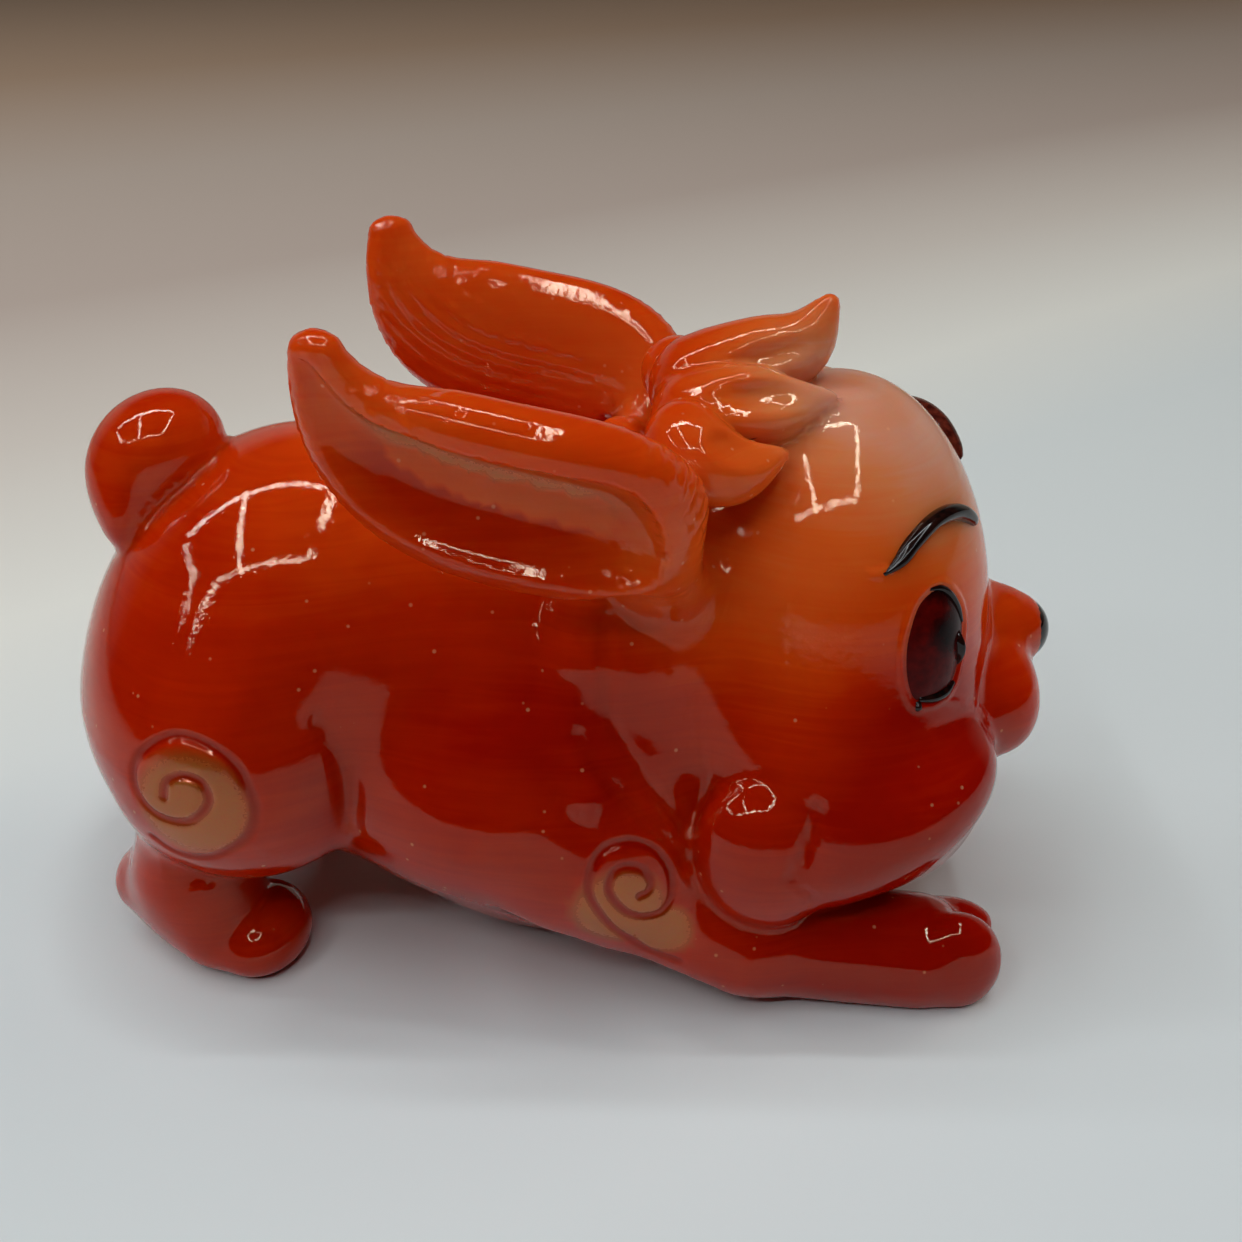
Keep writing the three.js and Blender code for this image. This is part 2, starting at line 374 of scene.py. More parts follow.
def ear(p):
    """A leaf: an ellipse carried along the spine, with a roll laid along its upper edge and a scoop taken
    from its outer face. The scoop is a smaller ellipse nearer the lower edge, tilted so that it is deepest
    under the roll, round at its front end and running out at the tip. Fine strands ripple the inner face."""
    wide, deep, beyond, width, depth, share = ear_place(p)
    leaf = oval((wide, deep, beyond), (width, depth, np.minimum(width, depth)))
    roll_radius = EAR_ROLL["radius"] * width
    roll_across, roll_outward = wide - width + roll_radius, deep - EAR_ROLL["outward"] * width
    roll = np.sqrt(roll_across ** 2 + roll_outward ** 2 + beyond ** 2)
    leaf = melt(leaf, roll - roll_radius, 1.0)
    opening = np.sqrt(1 - ramp(share, *EAR_SCOOP["opens"], 1, 0) ** 2)
    size = opening * ramp(share, *EAR_SCOOP["closes"], 1, 0) ** 0.35
    across = wide - (EAR_SCOOP["across"] - 1 + opening) * width
    outward = deep - EAR_SCOOP["outward"] * depth
    c, s = math.cos(EAR_SCOOP["tilt"]), math.sin(EAR_SCOOP["tilt"])
    scoop = oval((c * across - s * outward, s * across + c * outward),
                 (EAR_SCOOP["width"] * width * size + 1e-3, EAR_SCOOP["depth"] * depth * size + 1e-3))
    inner = ramp(deep, 0, -1) * ramp(wide / width, 0.4, 0.1) * ramp(share, 0.3, 0.5)
    strands = EAR_STRANDS["height"] * inner * np.cos(2 * math.pi * wide / EAR_STRANDS["spacing"])
    return carve(leaf, scoop, EAR_SCOOP["edge"]) - strands


TRUNK = {
    "rump": ((-26.5, 0, 26.9), (15.8, 17.4, 21.4), 28.5),
    "chest": ((1, 0, 19.6), (22.6, 18.4, 22.6), 8.6),
    "belly": ((-3.8, 0, 18), (17.9, 21.9, 12.3), 0),
    "haunch": ((-27.1, 8.3, 22.3), (12.8, 13.4, 13), 7.1),
}
HAUNCH_MELTS_TOWARDS = np.array([-0.5, 0.87])
HAUNCH_REACHES = (1.2, 4.9)


def trunk(p):
    """Rump, chest and belly as one mass, with the haunch standing on its side. The haunch melts into the
    rump above and behind, and keeps a crease in front and below."""
    body = melt(egg(p, *TRUNK["rump"]), egg(p, *TRUNK["chest"]), 12)
    body = melt(body, egg(p, *TRUNK["belly"]), 5)
    away = p[:, [0, 2]] - np.array(TRUNK["haunch"][0])[[0, 2]]
    reach = ramp(unit(away + 1e-6) @ HAUNCH_MELTS_TOWARDS, 0.1, 0.7, *HAUNCH_REACHES)
    return melt(body, egg(p, *TRUNK["haunch"]), reach)


TAIL = {
    "ball": ((-34.5, 0, 45), (6.4, 5.7, 5.2), -39.2),
    "neck": ((-36.4, 0, 40.8), (3.1, 6.7, 4.4), 0),
}


def tail(p):
    """A ball on a short neck at the top of the rump."""
    return melt(egg(p, *TAIL["ball"]), egg(p, *TAIL["neck"]), 3)


HIND_FOOT = {
    "sole": ((-38.8, 7.8, 5.1), (-31.2, 12.3, 3.5), 3.4, 4.2),
    "toe_ball": ((-28, 11.9, 2.7), (4.7, 5.5, 3.7), 0),
    "ankle": ((-33.3, 10.8, 9.4), (5.4, 5.8, 5.2), 0.1),
}


def hind_foot(p):
    """A short foot under the haunch, the thick ankle above its heel and a ball for its toes."""
    foot = melt(limb(p, *HIND_FOOT["sole"]), egg(p, *HIND_FOOT["ankle"]), 5.0)
    return melt(foot, egg(p, *HIND_FOOT["toe_ball"]), 1.0)


FORELEG = {
    "shoulder": ((2.7, 15.2, 15), (9.7, 7.4, 8.4), 0),
    "upper": ((7.9, 14.5, 9.8), (16.5, 17.1, 5.7), 6.1, 4.9),
    "lower": ((19.9, 15.8, 4.9), (32, 16.1, 3.6), 5.2, 5.2),
    "inner_toe": ((34.9, 12.8, 3.8), (4.9, 2.4, 2.7), 0),
    "outer_toe": ((35.2, 17.9, 3.9), (4.2, 3, 5), 0),
}


def foreleg(p):
    """A round shoulder, a leg laid forward on the ground and two toes."""
    leg = melt(limb(p, *FORELEG["upper"]), limb(p, *FORELEG["lower"]), 2)
    leg = melt(egg(p, *FORELEG["shoulder"]), leg, 4)
    toes = melt(egg(p, *FORELEG["inner_toe"]), egg(p, *FORELEG["outer_toe"]), 0.5)
    return melt(leg, toes, 0.8)


MUZZLE = {
    "pad": ((40.3, 3.7, 24.1), (2.8, 4.8, 5.2), -5.5),
    "bridge": ((39.8, 0, 28.1), (4.2, 4.2, 4), 0),
    "button": ((42.3, 0, 27.9), (2.3, 3, 3.1), 0),
    "side": ((38.4, 6.5, 23.3), (3.9, 3.9, 4.6), 0),
}


def muzzle(p):
    """Two round lip pads, the bridge of the nose over them and its button end."""
    pads = melt(egg(p, *MUZZLE["pad"]), egg(p, *MUZZLE["bridge"]), 1.4)
    pads = melt(pads, egg(p, *MUZZLE["side"]), 2.5)
    return melt(pads, egg(p, *MUZZLE["button"]), 0.7)


JOWL = {
    "jaw": ((24.9, 12.1, 17.3), (14.1, 10.6, 7.3), -26.1),
    "lobe": ((17.8, 17.9, 16), (6.1, 4.7, 7.4), -11.6),
}


def jowl(p):
    """A long jowl running back along the jaw to a round lobe."""
    return melt(egg(p, *JOWL["jaw"]), egg(p, *JOWL["lobe"]), 0.8)


# Each lock's path and radii, and the ellipsoid that hollows it.
FORELOCK = [
    ([(12.6, 0, 51), (17, 0, 53.3), (20.6, 0, 54.8), (22.7, 0, 58.1)], [4.7, 3.6, 2.6, 0.9],
     ((20.2, 4.9, 55.6), (6.6, 2.6, 1.3), -14)),
    ([(12.2, 4, 49.6), (15.6, 5, 50.8), (19, 5.4, 51.2), (22.6, 4.6, 51.7)], [4.2, 3.6, 2.3, 0.6],
     ((18.4, 8.9, 53.2), (6.4, 2.6, 1.5), 0)),
    ([(10.6, 8.6, 49.6), (11.9, 10.4, 48.6), (14.6, 10.9, 47.9), (18.4, 9.6, 48.7)], [3.2, 3.2, 2.5, 0.6],
     ((16.4, 12.9, 50.4), (4.0, 2.2, 1.2), 12)),
]


def forelock(p):
    """Three locks that rise from between the ears and end in points, each with a face hollowed by a long
    ellipsoid, so that a sharp ridge is left above and below the hollow."""
    locks = [carve(horn(p, path, radii), egg(p, *hollow), 0.9) for path, radii, hollow in FORELOCK]
    return melt(melt(locks[0], locks[1], 0.5), locks[2], 0.5)


HEAD = {
    "skull": ((24.3, 0, 29.9), (14.2, 16.6, 22.2), 0),
    "nape": ((6.2, 0, 29), (10.8, 16.3, 14.2), 0),
    "cheek": ((24.9, 3.7, 18.7), (14.4, 17.8, 11.2), 19),
    "chin": ((30.5, 0, 18.5), (8.5, 8, 7), -15),
}
# How far these masses melt into the figure: where they are creased, and where they flow into it.
HEEL_REACHES = (1, 4)
JOWL_REACHES = (1, 1.6)
MUZZLE_REACHES = (0.8, 2.8)
EAR_ROOT_REACHES = (2.5, 4.5)
COLLAR_PATH = [(5.5, 9, 42.5), (2.5, 11, 38), (2.4, 12.1, 33.6), (1.2, 15.1, 26.4), (3, 18.6, 21.8),
               (7.1, 18.3, 16.3)]
COLLAR_RADII = [2.6, 2.2, 3.5, 2.8, 2.1, 1.9]


def collar(p):
    """A fold of skin round the back of the head, from the ear down to the lobe."""
    return horn(p, COLLAR_PATH, COLLAR_RADII, 10)


def masses(p):
    """The body's and the head's distances, before they are joined: each melts its masses together one by
    one. p is centred and its y is not negative."""
    body = melt(trunk(p), only_near(p, (-42, 0, 36), (-28, 7, 51), tail), 1.0)
    # The foot melts into the haunch behind, and is creased below it in front.
    reach = ramp(p[:, 0], -31.5, -34.5, *HEEL_REACHES)
    body = melt(body, only_near(p, (-44, 0, 0), (-22, 20, 16), hind_foot), reach)
    body = melt(body, only_near(p, (-8, 6, 0), (40, 22, 24), foreleg), 1.4)
    head = melt(egg(p, *HEAD["skull"]), egg(p, *HEAD["nape"]), 8)
    head = melt(head, egg(p, *HEAD["cheek"]), 8)
    head = melt(head, egg(p, *HEAD["chin"]), 1.5)
    # The jowl melts into the cheek above it, in front of the lobe, and is creased below and behind.
    above = ramp(p[:, 2] - 0.45 * (p[:, 0] - 18.5), 13.5, 18.5) * ramp(p[:, 0], 19, 24)
    reach = ramp(above, 0, 1, *JOWL_REACHES)
    head = melt(head, only_near(p, (9, 0, 6), (40, 24, 27), jowl), reach)
    reach = ramp(p[:, 2], 20, 25, *MUZZLE_REACHES)
    head = melt(head, only_near(p, (30, 0, 12), (47, 12, 35), muzzle), reach)
    head = melt(head, only_near(p, (-4, 6, 14), (12, 22, 46), collar), 2.5)
    # The ear melts further into the head at its root than along its length.
    reach = ramp(p[:, 0], 4, 10, *EAR_ROOT_REACHES)
    head = melt(head, only_near(p, (-20, 8, 36), (15, 24, 62), ear), reach)
    head = melt(head, only_near(p, (5, 0, 42), (25, 16, 60), forelock), 0.6)
    return body, head


def folded(p):
    """The points with those of the near side brought over to the far side."""
    return np.stack([p[:, 0], np.abs(p[:, 1]), p[:, 2]], -1)


def smooth_skin(p):
    """Distance to the figure without its fine carving, cut flat where it stands."""
    q = folded(p - CENTRING)
    body, head = masses(q)
    return carve(melt(body, head, 1.0), q[:, 2], 0.6)


def slope(field, p, step=0.04):
    """The field's gradient by central differences."""
    result = np.empty_like(p)
    for axis in range(3):
        shift = np.zeros(3)
        shift[axis] = step
        result[:, axis] = (field(p + shift) - field(p - shift)) / (2 * step)
    return result


def settled(field, p, rounds=2, longest=0.4):
    """Points moved to the field's zero level: each goes down its gradient by the distance over the slope."""
    for _ in range(rounds):
        gradient = slope(field, p)
        step = -field(p)[:, None] * gradient / np.maximum((gradient ** 2).sum(1), 0.2)[:, None]
        length = np.maximum(np.linalg.norm(step, axis=1), 1e-9)[:, None]
        p = p + step * np.minimum(1, longest / length)
    return p


# The carving in the mould: a coil on each haunch and shoulder, the creases and folds of the skin, and the
# rims of the eye sockets. Each is a groove or a ridge, whose depth falls off with the distance to a line
# drawn on the skin.
def skin_frame(place):
    """A point brought to the skin of the far side, its outward normal, and the directions along the skin
    that go towards the face and upwards."""
    centre = settled(smooth_skin, np.array([place], float), 6)[0]
    outward = unit(slope(smooth_skin, centre[None])[0])
    ahead = unit(np.cross(outward, (0, 0, 1)))
    return centre, outward, ahead, np.cross(ahead, outward)


def laid_on(skin_place, flat_points):
    """Flat points (ahead, up) about a place, dropped straight onto the skin by a dozen steps, each of four
    fifths of the distance left."""
    centre, outward, ahead, up = skin_place
    flat_points = np.array(flat_points, float)
    p = centre + flat_points[:, :1] * ahead + flat_points[:, 1:2] * up
    for _ in range(12):
        p = p - np.clip(smooth_skin(p), -2, 2)[:, None] * outward * 0.8
    return p


def drawn(points, count):
    """count points on a smooth line near the skin, settled onto it."""
    return settled(smooth_skin, smooth_run(points, count), 6)


HAUNCH_PLACE = skin_frame((-29.3, 22.7, 24.8))
HAUNCH_COIL = [(-2.6, -0.8), (-2.2, 0.6), (-0.7, 1.3), (0.9, 0.75), (1.2, -1.1), (-0.8, -2.9),
               (-3.7, -2.7), (-5.4, -0.7), (-4.9, 2.15), (-1.1, 4.5), (2.9, 2.9), (4.7, -0.9),
               (3.9, -4.2), (0.6, -6.6), (-2.6, -6.9), (-4.8, -5.6)]
SHOULDER_PLACE = skin_frame((6.4, 21.2, 14.7))
SHOULDER_COIL = [(0.2, -0.3), (0.85, -0.1), (1.2, 0.8), (0.5, 2.1), (-0.8, 2.7), (-1.9, 2.4),
                 (-2.5, 1.1), (-2.1, -0.3), (-0.9, -1.9), (0.6, -2.6), (2.2, -2.4), (3.1, -0.9),
                 (2.9, 1.5), (1.8, 3.4), (-0.2, 4.6), (-2.2, 4.5), (-3.6, 3.2), (-4.1, 1),
                 (-3.5, -1.1), (-2, -3.7), (-0.3, -5.5), (1.4, -7.2), (3.6, -8.2)]
HAUNCH_CREASE = [(-19.4, 17, 28.4), (-18.6, 17.1, 26.5), (-17.9, 17.1, 24.6), (-17.6, 17.2, 21.8),
                 (-17.9, 16.7, 18)]
LOBE_CREASE = [(21.1, 20.6, 22.4), (21, 20.9, 21.5), (20.4, 21.6, 19.3), (20, 22, 18.1), (19.2, 22.4, 16.8)]
FOLD_ABOVE = [(3.8, 14.3, 36.4), (4, 16.1, 30.5), (4.7, 17.1, 27.6), (7.1, 17.8, 23.8), (10.4, 17.9, 18.6)]
FOLD_BELOW = [(1.7, 18, 27.6), (3.5, 18.9, 24.8), (5.8, 19.4, 21.8), (8.3, 19.6, 19.4), (10.8, 19.3, 15.8)]
LOBE_NOTCH = [(20.3, 22.4, 15.3), (21, 22.2, 14.6), (21, 22, 13.5)]
MOUTH_FOLD = [(31.1, 14.7, 29.2), (33.5, 12.9, 27.7), (35.8, 11.1, 25.3), (36.8, 12.8, 23.7)]
EYE_PLACE = skin_frame((30.4, 14.7, 34.3))
EYE_HEART = (0.6, -0.2)
EYE_OUTLINE = [(0.35, 4.65), (1.5, 4.6), (2.6, 3.9), (3.65, 2.45), (4.15, 0.8), (3.95, -0.95),
               (3.4, -2.55), (2.4, -4.1), (0.7, -4.85), (-1.1, -4.8), (-2.15, -4.4), (-2.6, -3.2),
               (-2.7, -1.3), (-2.4, 0.9), (-1.6, 3.05), (-0.75, 4.1)]
# The rim stands a little outside the eye's outline.
eye_rim = np.array(EYE_OUTLINE) + 0.3 * unit(np.array(EYE_OUTLINE) - EYE_HEART)
BROW_PLACE = skin_frame((31.1, 10.4, 43.8))
BROW_TAIL = [(-7.4, -2.05), (-6.8, -2.3), (-5.8, -2.35)]
# Each line with its half width and depth; a depth below zero raises a ridge instead.
GROOVES = {
    "haunch_coil": (laid_on(HAUNCH_PLACE, smooth_run(HAUNCH_COIL, 110)), 0.36, 0.42),
    "shoulder_coil": (laid_on(SHOULDER_PLACE, smooth_run(SHOULDER_COIL, 120)), 0.32, 0.38),
    "haunch_crease": (drawn(HAUNCH_CREASE, 40), 0.9, 0.45),
    "fold_above": (drawn(FOLD_ABOVE, 40), 0.6, 0.28),
    "fold_below": (drawn(FOLD_BELOW, 30), 0.6, 0.28),
    "lobe_crease": (drawn(LOBE_CREASE, 24), 0.55, 0.3),
    "lobe_notch": (drawn(LOBE_NOTCH, 12), 0.35, 0.3),
    "mouth_fold": (drawn(MOUTH_FOLD, 24), 0.3, -0.15),
    "eye_rim": (laid_on(EYE_PLACE, smooth_run([*eye_rim, eye_rim[0]], 60)), 0.28, -0.22),
    "brow_tail": (laid_on(BROW_PLACE, smooth_run(BROW_TAIL, 12)), 0.28, -0.3),
}
COILS = ("haunch_coil", "shoulder_coil")
FINER_THAN_GRID = COILS + ("eye_rim",)


def line_distance(p, line, reach):
    """Distance to a line of points, at most reach, worked out only inside its box."""
    distance = np.full(len(p), float(reach))
    low, high = line.min(0) - reach, line.max(0) + reach
    inside = np.flatnonzero(((p > low) & (p < high)).all(1))
    near = distance[inside]
    for start, end in zip(line[:-1], line[1:]):
        near = np.minimum(near, limb(p[inside], start, end, 0, 0))
    distance[inside] = near
    return distance


# The bell is cut off where it has fallen to nothing, this many half widths from its line.
BELL_REACH = 3


def carved_skin(p):
    """Distance to the figure with its carving: each groove adds its depth times a bell of the distance to
    its line over its half width."""
    distance = smooth_skin(p)
    q = folded(p)
    for line, half_width, depth in GROOVES.values():
        away = line_distance(q, line, BELL_REACH * half_width) / half_width
        distance = distance + depth * np.exp(-away ** 2) * (away < BELL_REACH)
    return distance


GRID_STEP = 0.63
GRID_LOW, GRID_HIGH = (-46, 0, -1), (46, 25, 63)
FINER_WITHIN = (1.4, 0.9)


def sampled_field():
    """The smooth skin's distances on a grid of cubes that is the same on both sides of the middle plane."""
    low = np.array(GRID_LOW) + np.array([0, GRID_STEP / 2, 0])
    counts = np.ceil((np.array(GRID_HIGH) - low) / GRID_STEP).astype(int)
    axes = [low[i] + GRID_STEP * np.arange(counts[i]) for i in range(3)]
    corners = np.stack(np.meshgrid(*axes, indexing="ij"), -1).reshape(-1, 3)
    block = 300000
    values = np.concatenate([smooth_skin(corners[i:i + block]) for i in range(0, len(corners), block)])
    half = values.reshape(counts)
    whole = np.concatenate([half[:, ::-1], half], 1)
    return whole, np.array([low[0], -axes[1][-1], low[2]])


def wrapped(values, corner):
    """The skin of a field as quads: each cube that the zero level crosses holds one point, the mean of where
    it cuts the cube's edges, and each cut edge joins the points of the four cubes round it."""
    inside = values < 0
    cubes = tuple(n - 1 for n in values.shape)
    filled = np.zeros(cubes, int)
    for shift in np.ndindex(2, 2, 2):
        filled += inside[tuple(slice(s, s + n) for s, n in zip(shift, cubes))]
    crossed = (filled > 0) & (filled < 8)
    number = -np.ones(cubes, int)
    number[crossed] = np.arange(crossed.sum())
    cells = np.argwhere(crossed)
    total, cuts = np.zeros((len(cells), 3)), np.zeros(len(cells))
    for axis in range(3):
        others = [i for i in range(3) if i != axis]
        for shift in np.ndindex(2, 2):
            near_end = cells.copy()
            near_end[:, others] += shift
            far_end = near_end.copy()
            far_end[:, axis] += 1
            a, b = values[tuple(near_end.T)], values[tuple(far_end.T)]
            cut = (a < 0) != (b < 0)
            place = near_end.astype(float)
            place[:, axis] += np.where(cut, a / np.where(cut, a - b, 1), 0)
            total += place * cut[:, None]
            cuts += cut
    points = corner + GRID_STEP * total / cuts[:, None]
    quads = []
    for axis in range(3):
        first, second = [(1, 2), (2, 0), (0, 1)][axis]
        start = inside.take(np.arange(values.shape[axis] - 1), axis)
        edges = np.argwhere(start != inside.take(np.arange(1, values.shape[axis]), axis))
        ring = []
        for a, b in ((-1, -1), (0, -1), (0, 0), (-1, 0)):
            cell = edges.copy()
            cell[:, first] += a
            cell[:, second] += b
            ring.append(number[tuple(cell.T)])
        ring = np.stack(ring, 1)
        leaving = start[tuple(edges.T)]
        ring[~leaving] = ring[~leaving][:, ::-1]
        quads.append(ring)
    return points, np.vstack(quads)


def near_lines(p, names):
    """Distance to the nearest of the named grooves."""
    return np.min([line_distance(folded(p), GROOVES[name][0], 3.0) for name in names], 0)


def finer_near(points, faces, names, cuts_at):
    """Splits the edges whose middle is close to a named groove, once for each distance in cuts_at."""
    work = bmesh.new()
    mesh = bpy.data.meshes.new("work")
    mesh.from_pydata(points.tolist(), [], faces.tolist())
    work.from_mesh(mesh)
    for reach in cuts_at:
        work.edges.ensure_lookup_table()
        ends = np.array([[edge.verts[0].co, edge.verts[1].co] for edge in work.edges])
        chosen = np.flatnonzero(near_lines(ends.mean(1), names) < reach)
        bmesh.ops.subdivide_edges(work, edges=[work.edges[i] for i in chosen], cuts=1, use_grid_fill=True)
    bmesh.ops.triangulate(work, faces=[face for face in work.faces if len(face.verts) > 4])
    work.to_mesh(mesh)
    work.free()
    finer_points = np.empty(len(mesh.vertices) * 3)
    mesh.vertices.foreach_get("co", finer_points)
    finer_faces = [list(face.vertices) for face in mesh.polygons]
    bpy.data.meshes.remove(mesh)
    return finer_points.reshape(-1, 3), finer_faces


figure_points, figure_faces = wrapped(*sampled_field())
figure_points = settled(smooth_skin, figure_points, 2)
figure_points, figure_faces = finer_near(figure_points, figure_faces, FINER_THAN_GRID, FINER_WITHIN)
figure_points = settled(carved_skin, figure_points, 3)

# The colour. Milky peach resin, airbrushed from orange round the ears to deep red below.
# Each pass is a soft round spray: where it is aimed, how far it spreads and how much red it adds or keeps
# off. More red lies inside the ears, and the deeper red in the grooves of the coils is painted shade.
RED_ALL_OVER = 0.85
DISH_RED = 0.26
# Deeper red in the coils' grooves: painted shade.
COIL_GROOVE_SHADE = 0.25
EAR_GOLD = 0.95
SPRAY_PASSES = {
    "forehead": ((32, 4, 48), 14.5, -0.81),
    "brow": ((36, 8, 38), 8, -0.02),
    # The locks' pass is partly paler airbrushing, partly painted light: the glow through the thin resin.
    "locks": ((19, 4, 54), 8, -0.40),
    "head_side": ((17, 18, 37), 10, -0.27),
    "jowl": ((27, 14, 20), 13, 0.12),
    "under_eye": ((30, 15, 27), 8, 0.24),
    "muzzle": ((42, 4, 26), 7, -0.08),
    "ear_root": ((8, 15, 46), 9, -0.29),
    "ear_middle": ((-3, 18, 51), 9, -0.22),
    "ear_tip": ((-15, 19, 58), 9, -0.24),
    "back": ((-14, 4, 45), 16, -0.26),
    "back_low": ((-10, 18, 30), 12, 0.12),
    "belly": ((-2, 14, 6), 16, 0.05),
    "neck": ((4, 17, 28), 9, 0.10),
    "tail": ((-36, 0, 46), 8, -0.10),
    "haunch": ((-28, 18, 18), 12, 0.02),
    "paws": ((30, 15, 6), 12, 0.2),
    "feet": ((-32, 12, 4), 8, 0.03),
}
GOLD_DISCS = {
    "haunch": (HAUNCH_PLACE, (-0.3, -1.6), 4.9),
    "shoulder": (SHOULDER_PLACE, (-1.6, -1.6), 4.0),
    "shoulder_tail": (SHOULDER_PLACE, (2.2, -4.6), 2.6),
}


def about_ear(p):
    """The numbers of the points near an ear, and for each its place across the ear in half widths, whether
    it is on the outer side, and its share of the ear's length."""
    numbers = np.flatnonzero((p[:, 2] > 36) & (p[:, 0] < 12) & (p[:, 1] > 8))
    wide, deep, beyond, width, depth, share = ear_place(p[numbers])
    return numbers, wide / width, deep > 0, share


def sprayed(p):
    """How red each point is, from 0, bare resin, to 1: the passes' bells of distance added up, with more
    red inside the ears, and more along the coils as painted shade in their grooves."""
    amount = np.full(len(p), RED_ALL_OVER)
    for place, spread, strength in SPRAY_PASSES.values():
        away = np.linalg.norm(p - np.array(place, float), axis=1) / spread
        amount += strength * np.exp(-away ** 2)
    # Painted shade: deeper red along the grooves of the coils.
    amount += COIL_GROOVE_SHADE * np.exp(-(near_lines(p, COILS) / 0.35) ** 2)
    numbers, across, outer, share = about_ear(p)
    dish = np.exp(-((across + 0.2) / 0.45) ** 2) * outer
    dish *= ramp(share, 0.2, 0.4) * ramp(share, 0.9, 0.75)
    amount[numbers] += DISH_RED * dish
    return np.clip(amount, 0, 1)


def gilded(p):
    """How much gold dust lies on each point: soft discs over the coils, and a band under the ear's rim."""
    amount = np.zeros(len(p))
    for (centre, outward, ahead, up), (right, rise), radius in GOLD_DISCS.values():
        middle = centre + right * ahead + rise * up
        away = np.linalg.norm(p - middle, axis=1) / radius
        amount = np.maximum(amount, ramp(away, 1.15, 0.8))
    numbers, across, outer, share = about_ear(p)
    band = np.exp(-((across - 0.2) / 0.16) ** 2) * outer
    band *= ramp(share, 0.25, 0.4) * ramp(share, 0.97, 0.82)
    amount[numbers] = np.maximum(amount[numbers], EAR_GOLD * band)
    return amount * ramp(near_lines(p, COILS), 0.25, 0.55)


def set_attribute(piece, name, values):
    """Stores one number for each point of a mesh."""
    layer = piece.data.attributes.new(name, "FLOAT", "POINT")
    layer.data.foreach_set("value", np.asarray(values, np.float32))


RED_RAMP = [(0.0, "#d9987f"), (0.2, "#dc7e4b"), (0.4, "#df5e1d"), (0.6, "#d94407"), (0.8, "#bd2200"),
            (1.0, "#9d0b00")]
LACQUER_IOR = 1.46
# The lacquer is a little yellow, so what it mirrors is warmer than the lamps.
GLOSS_TINT = "#ffecca"
LACQUER_ROUGHNESS = 0.015
GOLD_ROUGHNESS = 0.45
GOLD_METALLIC = 0.6
SCATTER_DEPTH = 2.5
SCATTER_SHARE = 0.55
SCATTER_REACH = (1.0, 0.28, 0.10)
GOLD_COLOUR = "#ad5e1d"
# The pigment's streaks are 1.1 mm thick and 16 mm long, its clouds 7 mm across, and the bubbles of trapped
# air 2.4 mm apart.
STREAK_THICKNESS = 1.1
STREAK_LENGTH = 16.0
MOTTLE_SIZE = 7.0
BUBBLE_SPACING = 2.4
BUBBLE_COLOUR = "#f0b080"
# The lacquer's orange peel is low enough that a lamp's reflection keeps its edges.
PEEL_SIZE = 0.6
PEEL_HEIGHT = 0.03
# Real gold dust is finer. It is drawn as coarse as it needs to show.
DUST_SIZE = 0.2


